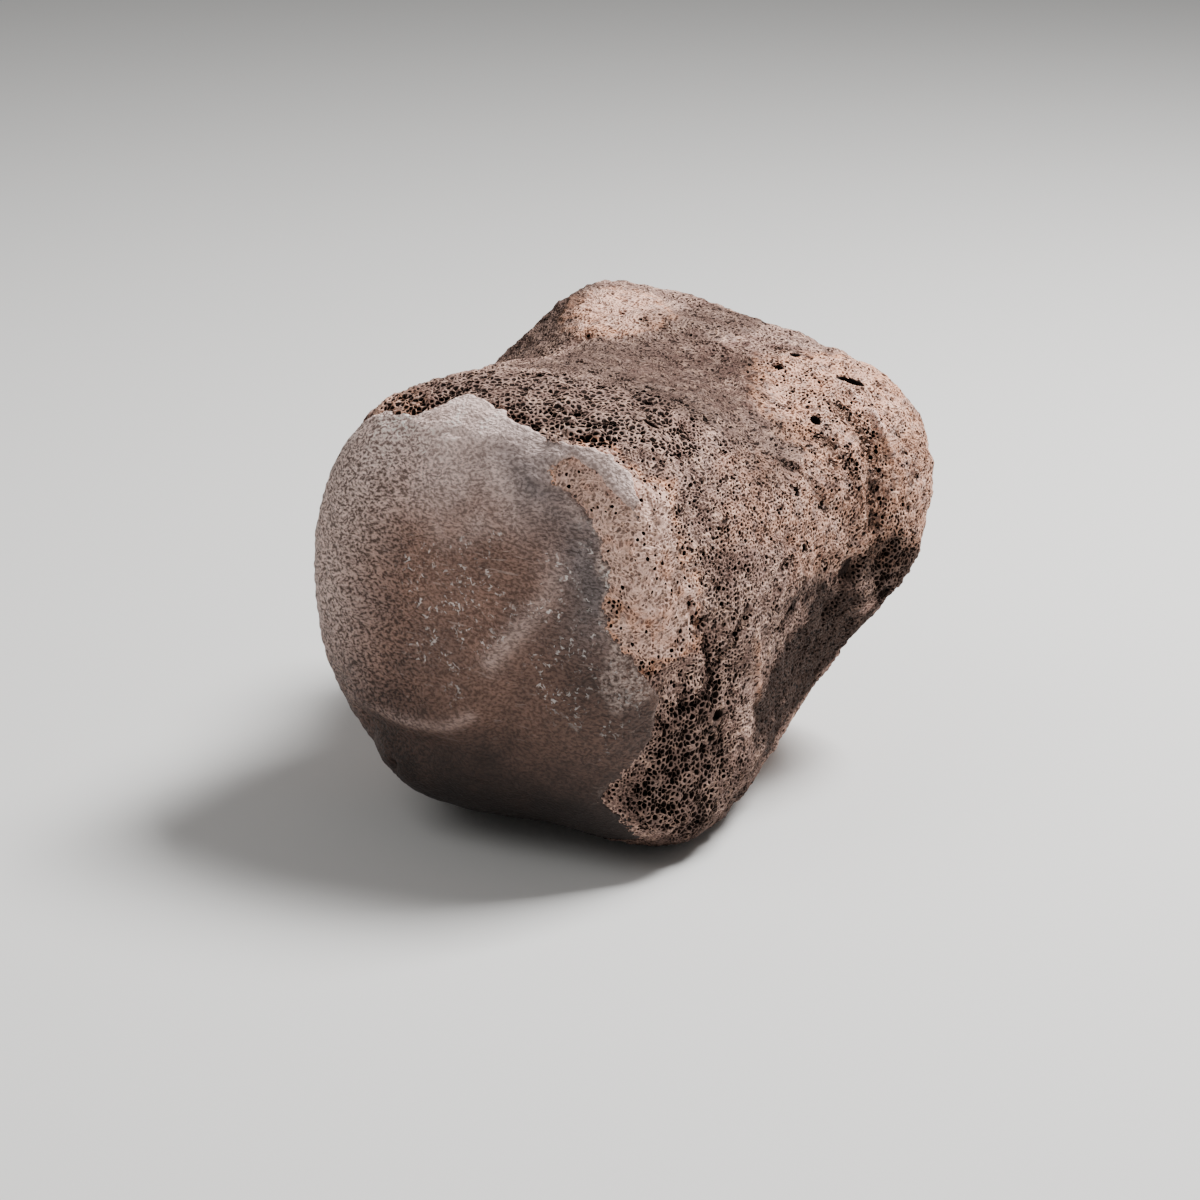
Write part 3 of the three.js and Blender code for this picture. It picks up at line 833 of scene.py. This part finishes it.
@dataclass(frozen=True)
class Outline:
    """A closed outline drawn in X and Z on a plane across Y, seen from CORE."""

    corners: tuple[tuple[float, float], ...]
    plane: float

    def on_plane(self, points: Rows) -> Rows:
        """Where the rays from CORE through points meet the plane; far away for rays facing back."""
        ahead = self.plane - CORE[1]
        scale = ahead / np.where((points[:, 1] - CORE[1]) * ahead > 0.1, points[:, 1] - CORE[1], 1e-3 * ahead)
        return CORE[[0, 2]] + (points[:, [0, 2]] - CORE[[0, 2]]) * scale[:, None]

    def depth(self, spots: Rows) -> Rows:
        """Distance inside the outline on the plane, below zero outside it."""
        corners = np.array(self.corners)
        nearest = np.full(len(spots), np.inf)
        inside = np.zeros(len(spots), bool)
        for start, end in zip(corners, np.roll(corners, -1, axis=0)):
            along = end - start
            share = np.clip((spots - start) @ along / (along @ along), 0, 1)
            gap = spots - start - share[:, None] * along
            nearest = np.minimum(nearest, np.hypot(gap[:, 0], gap[:, 1]))
            straddles = (start[1] > spots[:, 1]) != (end[1] > spots[:, 1])
            run = np.where(straddles, (spots[:, 1] - start[1]) / (end[1] - start[1] or 1e-9), 0)
            inside ^= straddles & (spots[:, 0] < start[0] + run * along[0])
        return np.where(inside, nearest, -nearest)


LAYER_OUTLINE = Outline((
    (-34, 104.5), (-25.4, 102.9), (-20.3, 103), (-15.8, 106.9), (-12.3, 111.4),
    (-9.5, 115.3), (-4.3, 113.8), (-0.1, 112.5), (3.4, 110.1), (6.2, 107.8),
    (13, 104.8), (19, 102.2), (27.1, 102.5), (36.8, 101.6), (43, 97.2), (45, 90.7), (43.8, 86.7),
    (40.8, 88.5), (37.4, 92), (33.6, 95.6), (30.1, 97.1), (26.5, 99.3), (22.6, 96.5),
    (20.9, 92.7), (24, 89.6), (27.9, 86.7), (32.4, 82.6), (34.4, 77.1), (35.9, 69.4), (34.5, 60.3),
    (37.4, 56.3), (40.6, 52.1), (46, 47.3), (50.6, 41.5), (49.4, 36.5), (47.7, 31.5), (45, 26.5),
    (41.7, 23.6), (37, 19.9), (33.9, 16.9), (35.7, 13.8), (38.3, 11.7), (42.4, 7.5),
    (45, -4), (32, -12), (12, -17), (-8, -16), (-30, -20), (-52, -6), (-74, 12),
    (-92, 36), (-96, 58), (-84, 78), (-62, 92), (-46, 99),
), -60.0)
NEAR_OUTLINE = Outline((
    (-38, 34), (-18, 26), (6, 24), (28, 28), (46, 36), (54, 52), (52, 70), (42, 82), (24, 86),
    (4, 84), (-14, 90), (-32, 88), (-44, 76), (-46, 54),
), 56.0)


@dataclass
class JointLayer:
    """The smooth outer layer of a joint face, which stands proud and ends in a ragged ledge."""

    name: str
    outline: Outline
    rise: float = 0.28
    flap_rise: float = 0.75
    pitch: float = 0.5
    margin: float = 3.0
    clearance: float = 0.02
    sink: float = 1.7
    # share of the pale tone and the painted light at the top, ridge and lip that the layer takes
    pallor_and_light_share: float = 1.0
    EDGE_BUMPS = ((0.8, 2.6), (0.5, 0.9))  # reach and size of the ragged edge's coarse and fine bumps
    LEDGE = (-0.25, 0.3)  # the layer rises to its height between these depths inside its outline
    DIVE = (0.3, 1.4)  # and dives under the skin between these depths outside it
    WRINKLES = (0.13, 2.2)  # height and size
    PIMPLES = (0.3, 1.15)

    def build(self) -> Object:
        """Builds the layer as a fine sheet whose rim dives under the pitted skin.

        Returns:
            The finished piece.
        """
        corners = np.array(self.outline.corners)
        low, high = corners.min(axis=0) - self.margin, corners.max(axis=0) + self.margin
        columns, rows = (np.ceil((high - low) / self.pitch)).astype(int)
        across, up = np.meshgrid(np.linspace(low[0], high[0], columns), np.linspace(low[1], high[1], rows))
        spots = np.stack([across.ravel(), up.ravel()], axis=1)
        ahead = np.full(len(spots), self.outline.plane - CORE[1])
        rays = np.stack([spots[:, 0] - CORE[0], ahead, spots[:, 1] - CORE[2]], axis=1)
        depth = self.outline.depth(spots)
        kept = depth > -self.margin
        points = np.zeros((len(spots), 3))
        points[kept] = FORM.along(rays[kept])
        (coarse, coarse_size), (fine, fine_size) = self.EDGE_BUMPS
        depth = depth + coarse * GRAIN.rough(points, coarse_size) + fine * GRAIN.at(points, fine_size)
        flap = np.maximum(Zone((34, -52, 92), (16, 12, 12)).weight(points),
                          Zone((-4, -48, 98), (22, 12, 9), 0.6).weight(points))
        rise = self.rise + self.flap_rise * flap
        lift = rise * smooth_step(depth, *self.LEDGE) - self.sink * smooth_step(-depth, *self.DIVE)
        normals = np.zeros_like(points)
        normals[kept] = FORM.normals(points[kept])
        points += normals * (lift + self.texture(points, depth))[:, None]
        points[:, 2] = np.maximum(points[:, 2], self.clearance)
        index = np.arange(columns * rows).reshape(rows, columns)
        quads = np.stack([index[:-1, :-1], index[:-1, 1:], index[1:, 1:], index[1:, :-1]], axis=-1)
        quads = quads.reshape(-1, 4)
        if self.outline.plane > 0:
            quads = quads[:, ::-1]
        quads = quads[kept[quads].all(axis=1)]
        used, faces = np.unique(quads, return_inverse=True)
        piece = put_mesh(self.name, points[used], faces.reshape(-1, 4))
        self.paint(piece.data, points[used], depth[used])
        return piece

    def texture(self, points: Rows, depth: Rows) -> Rows:
        """Fine wrinkles, pimples that grow to the outer left, and a hole in the lower left knob."""
        inside = smooth_step(depth, 0.2, 2.0)
        lying = points @ np.array([[0.45, 0, 0], [0, 1, 0], [-0.15, 0, 1]])
        wrinkles = self.WRINKLES[0] * GRAIN.rough(lying, self.WRINKLES[1])
        pimples = self.PIMPLES[0] * self.pimply(points) * GRAIN.at(lying, self.PIMPLES[1])
        hollow = -KNOB_HOLE.depth * np.exp(-(KNOB_HOLE.reach(points) ** 2))
        return inside * (wrinkles + pimples) + hollow

    def pimply(self, points: Rows) -> Rows:
        """Where the layer's surface is pimply."""
        left = smooth_step(-points[:, 0] + 5 * GRAIN.at(points, 12), 4, 24)
        low = smooth_step(-points[:, 2] + 4 * GRAIN.at(points, 9), -34, -24)
        high = smooth_step(points[:, 2] + 4 * GRAIN.at(points, 9), 84, 97)
        return np.clip(0.55 + 0.45 * left - 0.1 * low - 0.1 * high, 0.35, 1)

    def paint(self, mesh: Mesh, points: Rows, depth: Rows) -> None:
        """Stores where the layer is ashen and painted lit from above, pale with painted highlights, slate,
        worn with a painted lit edge, darkened with painted shade, pimply and flecked.
        """
        height = points[:, 2] + 6 * GRAIN.rough(points, 11)
        left = smooth_step(-points[:, 0] + 4 * GRAIN.at(points, 14), 12, 34)
        # paler towards the top: ashen tone, partly painted light from above
        ash_and_painted_top_light = smooth_step(height, 66, 98) * (0.85 + 0.3 * GRAIN.rough(points, 5)) * (1 - 0.45 * left)
        ridge = Relief(((26, -60, 70), (20, -61, 60), (9, -62, 47)), 2.4, 1.0)
        lip = Relief(((-30, -52, 32), (-25, -56, 30), (-13, -60, 29), (-3, -61, 30), (4, -61, 34)), 1.6, 1.0)
        # pale tone at the left, and painted highlights along the lit ridge and lip
        pallor_and_painted_highlight = np.maximum.reduce([
            left * smooth_step(height, 20, 50), 0.8 * ridge.nearness(points), 0.6 * lip.nearness(points)])
        band = Relief(((15, -56, 92), (24, -58, 85), (32, -58, 74), (33, -59, 60)), 9, 1.0)
        slate = np.clip(band.nearness(points) * (0.9 + 0.5 * GRAIN.rough(points, 7)), 0, 1)
        right = smooth_step(points[:, 0] + 5 * GRAIN.at(points, 10), 6, 30) * smooth_step(-height, -66, -40)
        trough = Relief(((31, -58, 66), (27, -60, 55), (17, -61, 42), (12, -61, 30)), 5, 1.0)
        under = Relief(
            ((-28, -53, 27), (-13, -58, 25.5), (-1, -60, 26.5), (18, -60, 25), (34, -57, 23)), 1.7, 1.0)
        # painted shade: darker towards the bottom and the lower right, and in the trough and the groove under
        # the lip; less on the lit ridge and lip
        painted_shade = np.maximum.reduce([
            0.97 * smooth_step(-height, -56, -12) * (1 - 0.3 * left), 0.6 * right,
            0.45 * trough.nearness(points), 0.75 * under.nearness(points)])
        painted_shade = painted_shade * (1 - 0.5 * np.maximum(lip.nearness(points), ridge.nearness(points)))
        # worn zones, and painted light along the ledge's edge (the last term)
        worn_and_painted_edge_light = np.maximum.reduce([
            Zone((42, -57, 60), (9, 14, 22), 0.9, 0.5).weight(points),
            Zone((38, -56, 88), (14, 14, 10), 0.15).weight(points),
            0.5 * (1 - smooth_step(depth, 0.0, 0.8)),
        ])
        flecked = np.maximum(
            Zone((0, -62, 58), (16, 14, 16), 0.8, 0.5).weight(points),
            Zone((32, -58, 54), (15, 14, 22), 1.0).weight(points),
        )
        layers = {
            "ash_and_painted_top_light": np.clip(ash_and_painted_top_light, 0, 1) * self.pallor_and_light_share, "pallor_and_painted_highlight": pallor_and_painted_highlight * self.pallor_and_light_share, "slate": slate,
            "painted_shade": painted_shade, "worn_and_painted_edge_light": worn_and_painted_edge_light, "pimply": self.pimply(points), "flecked": flecked,
        }
        for name, values in layers.items():
            mark(mesh, name, values)


class Side(IntEnum):
    """The sides that the pitted skin is made in, each a piece of its own."""

    COVERED = -1
    DORSAL_FRONT = 0
    DORSAL_BACK = 1
    FORAMEN_SIDE_FRONT = 2
    FORAMEN_SIDE_BACK = 3
    FAR_SIDE_FRONT = 4
    FAR_SIDE_BACK = 5
    NEAR_END = 6
    PALMAR_FRONT = 7
    PALMAR_BACK = 8
    FRONT_MARGIN = 9
    DORSAL_TUBER = 10


@dataclass
class PittedSkin:
    """The weathered surface round the joint layer: a skin of small irregular cells, open or closed.

    It comes in two grades: the finer one covers most of the bone, and the spongy one, with wide open cells,
    covers the zones where the surface has worn off.
    """

    grade: str = "skin"
    spongy: bool = False
    pitch: float = 1.0
    jitter: float = 0.36
    overlap: float = 0.9
    rim_share: float = 0.3
    sink: float = 1.5
    crumble: float = 0.2
    # how strongly the cells' floors are painted dark, as painted shade
    cavity_shade_gain: float = 1.5
    seed: int = 19
    UNEVEN = 0.25  # how much the rims' share varies from cell to cell
    FLOOR_SHARE = 0.8  # a cell's floor against its mouth
    STEEP = 0.62  # a cell whose normal leans this far along an axis belongs to that side
    HOLE_CLEARANCE = 1.15  # where the skin leaves off round a hole, in the hole's radii
    JOINT_REACH = 20  # the joint layers lie further than this from CORE along Y
    SPONGY_BORDER = (0.42, 0.58)  # the two grades overlap where a spongy zone's weight is between these
    DIMPLE = 0.14  # greatest openness of a closed cell
    SWELLINGS = (0.5, 4.6)  # height and size
    STREAKS = (0.42, 1.7)
    RIDGE_PAINTED_HIGHLIGHT = 0.8  # painted highlight on the cracks' ridges, and painted shade in their grooves
    GROOVE_PAINTED_SHADE = 0.4
    FIRST_RIM_SEED = 3
    OPENNESS_SEED = 5

    def scaffold(self) -> Object:
        """An even net over the whole bone, one corner for each cell.

        Returns:
            A scratch object whose corners carry each cell's side and openness.
        """
        rays, faces = ball_rays(6)
        rough = put_mesh("scaffold", FORM.along(rays), faces)
        remesh = rough.modifiers.new("even", "REMESH")
        remesh.mode = "VOXEL"
        remesh.voxel_size = self.pitch * MM
        net = bpy.data.meshes.new_from_object(rough.evaluated_get(bpy.context.evaluated_depsgraph_get()))
        rough.modifiers.remove(remesh)
        rough.data = net
        points = points_of(net)
        points = self.settle(self.strewn(points))
        move_points(net, points)
        work = bmesh.new()
        work.from_mesh(net)
        bmesh.ops.triangulate(work, faces=work.faces, quad_method="SHORT_EDGE")
        work.to_mesh(net)
        work.free()
        mark(net, "side", self.sides(points), whole=True)
        mark(net, "openness", self.openness(points))
        return rough

    def strewn(self, points: Rows) -> Rows:
        """The points moved about at random, less than half a cell."""
        random = np.random.default_rng(self.seed)
        return points + random.uniform(-1, 1, points.shape) * self.jitter * self.pitch

    def settle(self, points: Rows) -> Rows:
        """The points moved onto the surface, none below the floor."""
        for _ in range(2):
            streaks = points * np.array([1.0, 0.4, 1.0])
            uneven = self.SWELLINGS[0] * GRAIN.rough(points, self.SWELLINGS[1])
            uneven += self.STREAKS[0] * GRAIN.at(streaks, self.STREAKS[1])
            uneven -= sum(pocket.depth * np.exp(-pocket.reach(points) ** 2) for pocket in POCKETS)
            points = points - FORM.normals(points) * (FORM.field(points) - uneven)[:, None]
        points[:, 2] = np.maximum(points[:, 2], 0)
        return points

    def sides(self, points: Rows) -> Rows:
        """Which side's piece each cell belongs to."""
        normals = FORM.normals(points, step=3)
        x, y, z = normals.T
        front = points[:, 1] < 0
        side = np.where(front, Side.FORAMEN_SIDE_FRONT, Side.FORAMEN_SIDE_BACK)
        side = np.where(x < 0, np.where(front, Side.FAR_SIDE_FRONT, Side.FAR_SIDE_BACK), side)
        side = np.where(y > self.STEEP, Side.NEAR_END, side)
        side = np.where(y < -self.STEEP, Side.FRONT_MARGIN, side)
        dorsal = np.where(points[:, 0] < 4, Side.DORSAL_TUBER, Side.DORSAL_BACK)
        side = np.where(z > self.STEEP, np.where(front, Side.DORSAL_FRONT, dorsal), side)
        side = np.where(z < -self.STEEP, np.where(front, Side.PALMAR_FRONT, Side.PALMAR_BACK), side)
        covered = np.min([hole.reach(points) for hole in HOLES], axis=0) < self.HOLE_CLEARANCE
        for outline, facing in ((LAYER_OUTLINE, -1), (NEAR_OUTLINE, 1)):
            within = outline.depth(outline.on_plane(points)) > self.overlap
            covered |= within & (facing * (points[:, 1] - CORE[1]) > self.JOINT_REACH)
        spongy = strongest(SPONGY_ZONES, points)
        inner, outer = self.SPONGY_BORDER
        covered |= spongy < inner if self.spongy else spongy > outer
        return np.where(covered, Side.COVERED, side)

    def openness(self, points: Rows) -> Rows:
        """How wide open each cell is: 0 is a shallow dimple and 1 a deep open cell."""
        random = np.random.default_rng(self.OPENNESS_SEED).uniform(0, 1, len(points))
        if self.spongy:
            return 0.7 + 0.3 * random
        patchy = 0.5 + 0.5 * GRAIN.rough(points, 5)
        quiet = strongest(QUIET_ZONES, points)
        common = (0.3 + 0.5 * smooth_step(patchy, 0.45, 0.95)) * (1 - 0.8 * quiet)
        wanted = np.maximum(common, strongest(OPEN_ZONES, points) * (1 - 0.6 * quiet))
        opened = 0.5 + 0.5 * random / np.maximum(wanted, 0.05)
        return np.clip(np.where(random < wanted, opened, self.DIMPLE * random), 0, 1)

    def tree(self) -> bpy.types.NodeTree:
        """The tree that turns a net's corners into cells and sinks their floors.

        Returns:
            A geometry tree with inputs for the side, the rims' share, the depth, how strongly the floors are
            painted dark as painted shade, the seed and the material.
        """
        tree = bpy.data.node_groups.new("bone_cells", "GeometryNodeTree")
        nodes = NodeTree(tree)
        for name, kind in (
            ("Net", "Geometry"), ("Side", "Int"), ("Rim share", "Float"), ("Depth", "Float"),
            ("Cavity_shade_gain", "Float"), ("Seed", "Int"), ("Material", "Material"),
        ):
            tree.interface.new_socket(name, in_out="INPUT", socket_type="NodeSocket" + kind)
        tree.interface.new_socket("Skin", in_out="OUTPUT", socket_type="NodeSocketGeometry")
        given = nodes.add("NodeGroupInput").outputs
        cells = nodes.add("GeometryNodeDualMesh", {"Mesh": given["Net"]}).outputs["Dual Mesh"]
        named = "GeometryNodeInputNamedAttribute"
        side = nodes.add(named, {"Name": "side"}, data_type="INT").outputs["Attribute"]
        openness = nodes.add(named, {"Name": "openness"}, data_type="FLOAT").outputs["Attribute"]
        pair = {2: side, 3: given["Side"]}
        other = nodes.add("FunctionNodeCompare", pair, data_type="INT", operation="NOT_EQUAL")
        chosen = {"Geometry": cells, "Selection": other.outputs["Result"]}
        cut = nodes.add("GeometryNodeDeleteGeometry", chosen, domain="FACE", mode="ALL").outputs["Geometry"]
        rim = nodes.add("GeometryNodeExtrudeMesh", {"Mesh": cut, "Offset Scale": 0}, mode="FACES").outputs
        uneven = {2: 1 - self.UNEVEN, 3: 1 + self.UNEVEN, "Seed": given["Seed"]}
        chance = nodes.add("FunctionNodeRandomValue", uneven, data_type="FLOAT").outputs[1]
        width = nodes.reckon("SUBTRACT", 1, nodes.times(given["Rim share"], chance))
        narrow = {"Geometry": rim["Mesh"], "Selection": rim["Top"], "Scale": width}
        mouth = nodes.add("GeometryNodeScaleElements", narrow, domain="FACE").outputs["Geometry"]
        down = nodes.times(nodes.times(given["Depth"], openness), -1)
        sunk = {"Mesh": mouth, "Selection": rim["Top"], "Offset Scale": down}
        pit = nodes.add("GeometryNodeExtrudeMesh", sunk, mode="FACES").outputs
        narrow = {"Geometry": pit["Mesh"], "Selection": pit["Top"], "Scale": self.FLOOR_SHARE}
        bottom = nodes.add("GeometryNodeScaleElements", narrow, domain="FACE").outputs["Geometry"]
        # painted shade: the floors of the more open cells are painted darker
        tone = nodes.times(given["Cavity_shade_gain"], openness)
        floors = {"Geometry": bottom, "Selection": pit["Top"], "Name": "painted_cavity_shade", "Value": tone}
        dark = nodes.add("GeometryNodeStoreNamedAttribute", floors, data_type="FLOAT", domain="POINT")
        real = nodes.add("GeometryNodeRealizeInstances", {"Geometry": dark.outputs["Geometry"]})
        dressed = {"Geometry": real.outputs["Geometry"], "Material": given["Material"]}
        dress = nodes.add("GeometryNodeSetMaterial", dressed)
        nodes.add("NodeGroupOutput", {"Skin": dress.outputs["Geometry"]})
        return tree

    def build(self, material: Material) -> list[Object]:
        """Builds one piece for each side.

        Args:
            material: the finish of the skin.

        Returns:
            The finished pieces.
        """
        net = self.scaffold()
        tree = self.tree()
        sockets = {item.name: item.identifier for item in tree.interface.items_tree if item.in_out == "INPUT"}
        pieces = []
        for side in Side:
            if side is Side.COVERED:
                continue
            grow = net.modifiers.new("cells", "NODES")
            grow.node_group = tree
            settings = {
                "Side": int(side), "Rim share": self.rim_share, "Depth": self.sink * MM,
                "Cavity_shade_gain": self.cavity_shade_gain, "Seed": self.FIRST_RIM_SEED + int(side), "Material": material,
            }
            for name, value in settings.items():
                grow[sockets[name]] = value
            net.update_tag()
            mesh = bpy.data.meshes.new_from_object(net.evaluated_get(bpy.context.evaluated_depsgraph_get()))
            net.modifiers.remove(grow)
            if not len(mesh.polygons):
                continue
            self.weather(mesh)
            pieces.append(put_object(f"{self.grade}_{side.name.lower()}", mesh))
        bpy.data.objects.remove(net)
        return pieces

    def weather(self, mesh: Mesh) -> None:
        """Crumbles the skin a little and stores where it is buff or painted light, rusty, or darker in tone
        or painted shade.
        """
        points = points_of(mesh)
        normals = np.empty(len(mesh.vertices) * 3)
        mesh.vertices.foreach_get("normal", normals)
        rough = self.crumble * (GRAIN.at(points, 0.8) + 1.1 * GRAIN.at(points + 9, 1.6))
        rough += sum(crack.rise(points) for crack in CRACKS)
        points = points + normals.reshape(-1, 3) * rough[:, None]
        points[:, 2] = np.maximum(points[:, 2], 0)
        move_points(mesh, points)
        mesh.shade_smooth()
        # painted highlight on the cracks' ridges and painted shade in their grooves
        ridges = sum(crack.nearness(points) for crack in CRACKS if crack.height > 0)
        grooves = sum(crack.nearness(points) for crack in CRACKS if crack.height < 0)
        mark(mesh, "buff_and_painted_light", strongest(BUFF_AND_PAINTED_LIGHT_ZONES, points) + self.RIDGE_PAINTED_HIGHLIGHT * ridges)
        mark(mesh, "rust", strongest(RUST_ZONES, points))
        mark(mesh, "painted_shade_and_dark_tone", np.clip(strongest(PAINTED_SHADE_AND_DARK_TONE_ZONES, points) + self.GROOVE_PAINTED_SHADE * grooves, 0, 1))
        mark(mesh, "quiet", strongest(QUIET_ZONES, points) + (VERY_QUIET if self.spongy else 0))


@dataclass
class Foramina:
    """The linings of the holes: collars that lie on the skin and funnels that go down into the bone."""

    turns: int = 28
    steps: tuple[tuple[float, float], ...] = (
        (1.75, -0.3), (1.5, 0.02), (1.22, 0.1), (1.0, -0.12), (0.9, -0.5), (0.8, -1.2), (0.7, -2.2),
    )
    ON_SKIN = 0.95  # rings wider than this, in the hole's radii, lie on the skin
    BRIGHT = 1.1  # and rings wider than this aren't dark
    UNEVEN = 0.12
    FUNNEL_SHADE_GAIN = 1.6  # how soon the funnel is painted dark with its depth, as painted shade

    def lining(self, hole: Hole) -> tuple[Rows, Rows, Rows]:
        """One hole's lining.

        Args:
            hole: the hole to line.

        Returns:
            Its points, its faces and how dark each point is painted, as painted shade down the funnel.
        """
        mouth, long, short, out = hole.frame()
        angles = np.linspace(0, 2 * math.pi, self.turns, endpoint=False)
        rings, darkness = [], []
        for share, height in self.steps:
            ring = mouth + hole.radius * share * (
                np.cos(angles)[:, None] * long * hole.stretch + np.sin(angles)[:, None] * short)
            ring += (ring - mouth) * self.UNEVEN * GRAIN.at(ring * 1.3, 1.1)[:, None]
            if share > self.ON_SKIN:
                ring -= FORM.normals(ring) * FORM.field(ring)[:, None]
            rings.append(ring + out * (height + self.UNEVEN * GRAIN.at(ring, 0.9))[:, None])
            dark = float(np.clip(-height * self.FUNNEL_SHADE_GAIN, 0, 1)) if share < self.BRIGHT else 0.0
            darkness.append(np.full(self.turns, dark))
        points = np.concatenate([*rings, [mouth - out * (hole.depth - 1)]])
        around = np.arange(self.turns)
        beside = (around + 1) % self.turns
        last = (len(rings) - 1) * self.turns
        sides = [(up + a, up + b) for up in range(0, last, self.turns) for a, b in zip(around, beside)]
        faces = [[a, b, b + self.turns] for a, b in sides]
        faces += [[a, b + self.turns, a + self.turns] for a, b in sides]
        faces += [[last + a, last + b, len(points) - 1] for a, b in zip(around, beside)]
        return points, np.array(faces), np.concatenate([*darkness, [1.0]])

    def build(self) -> Object:
        """Builds the linings of all holes as one piece.

        Returns:
            The finished piece.
        """
        points, faces, darkness = [], [], []
        for hole in HOLES:
            corners, sides, dark = self.lining(hole)
            faces.append(sides + sum(map(len, points)))
            points.append(corners)
            darkness.append(dark)
        piece = put_mesh("foramina", np.concatenate(points), np.concatenate(faces))
        # painted shade down the funnels
        mark(piece.data, "painted_cavity_shade", np.concatenate(darkness))
        mark(piece.data, "buff_and_painted_light", strongest(BUFF_AND_PAINTED_LIGHT_ZONES, np.concatenate(points)))
        mark(piece.data, "painted_shade_and_dark_tone", strongest(PAINTED_SHADE_AND_DARK_TONE_ZONES, np.concatenate(points)))
        return piece


@dataclass
class InnerBone:
    """The closed body of bone under the skin, seen only at the bottom of the deepest cells, and painted dark
    all over as painted shade.
    """

    rise: float = -2.4
    clearance: float = 0.5
    detail: int = 6

    def build(self) -> Object:
        """Builds the body.

        Returns:
            The finished piece.
        """
        rays, faces = ball_rays(self.detail)
        points = FORM.along(rays, self.rise)
        points[:, 2] = np.maximum(points[:, 2], self.clearance)
        piece = put_mesh("inner_bone", points, faces)
        # painted shade: the whole body takes the cells' darkest floor colour
        mark(piece.data, "painted_cavity_shade", np.ones(len(points)))
        return piece


@dataclass
class Studio:
    """A pale table top, soft lights and the camera."""

    azimuth: float = 30.0
    elevation: float = 20.0
    distance: float = 640.0
    aim: Triple = (0.0, 0.0, 40.0)
    lens: float = 85.0

    def table(self) -> None:
        """A wide plain floor."""
        points = np.array([[-3000, -3000, 0], [3000, -3000, 0], [3000, 3000, 0], [-3000, 3000, 0]], float)
        floor = put_mesh("table", points, np.array([[0, 1, 2, 3]]), smooth=False)
        floor.data.materials.append(PlainFinish("table_top", Colour(0.78, 0.77, 0.75)).build())

    def light(self, name: str, place: Triple, size: float, power: float) -> None:
        """One soft square light aimed at the bone."""
        lamp = bpy.data.lights.new(name, "AREA")
        lamp.size = size
        lamp.energy = power
        rig = put_object(name, lamp)
        rig.location = place
        rig.rotation_euler = (Vector((0, 0, 0.05)) - Vector(place)).to_track_quat("-Z", "Y").to_euler()

    def lights(self) -> None:
        """A light above, a weak one at the left, and a faint even surround."""
        self.light("key_above", (0.32, 0.36, 0.82), 0.3, 19)
        self.light("fill_left", (-0.45, -0.55, 0.85), 0.7, 2.2)
        world = bpy.data.worlds.new("studio")
        world.use_nodes = True
        world.node_tree.nodes["Background"].inputs["Color"].default_value = (1, 1, 1, 1)
        world.node_tree.nodes["Background"].inputs["Strength"].default_value = 0.2
        bpy.context.scene.world = world

    def camera(self) -> None:
        """The camera at the photograph's viewing angle."""
        turn, tilt = math.radians(self.azimuth), math.radians(self.elevation)
        back = Vector((math.sin(turn) * math.cos(tilt), -math.cos(turn) * math.cos(tilt), math.sin(tilt)))
        aim = Vector((np.array(self.aim) + SHIFT) * MM)
        lens = bpy.data.cameras.new("camera")
        lens.lens = self.lens
        lens.sensor_width = 36
        eye = put_object("camera", lens)
        eye.location = aim + back * self.distance * MM
        eye.rotation_euler = (-back).to_track_quat("-Z", "Y").to_euler()
        bpy.context.scene.camera = eye


def main() -> None:
    """Builds and dresses the bone, then sets the studio round it."""
    logging.basicConfig(level=logging.INFO)
    pitted = PittedBoneFinish().build()
    studio = Studio()
    studio.camera()
    studio.table()
    studio.lights()
    finish_piece(InnerBone().build(), pitted)
    smooth = JointFinish().build()
    finish_piece(JointLayer("joint_layer", LAYER_OUTLINE).build(), smooth)
    near = JointLayer("near_joint_layer", NEAR_OUTLINE, pitch=0.6, flap_rise=0.0, pallor_and_light_share=0.4)
    finish_piece(near.build(), smooth)
    finish_piece(Foramina().build(), pitted)
    fine = PittedSkin()
    spongy = PittedSkin("spongy", True, 1.3, 0.44, rim_share=0.2, sink=2.4, crumble=0.4, cavity_shade_gain=5, seed=23)
    for skin in (fine, spongy):
        for piece in skin.build(pitted):
            finish_piece(piece)


if __name__ == "__main__":
    main()
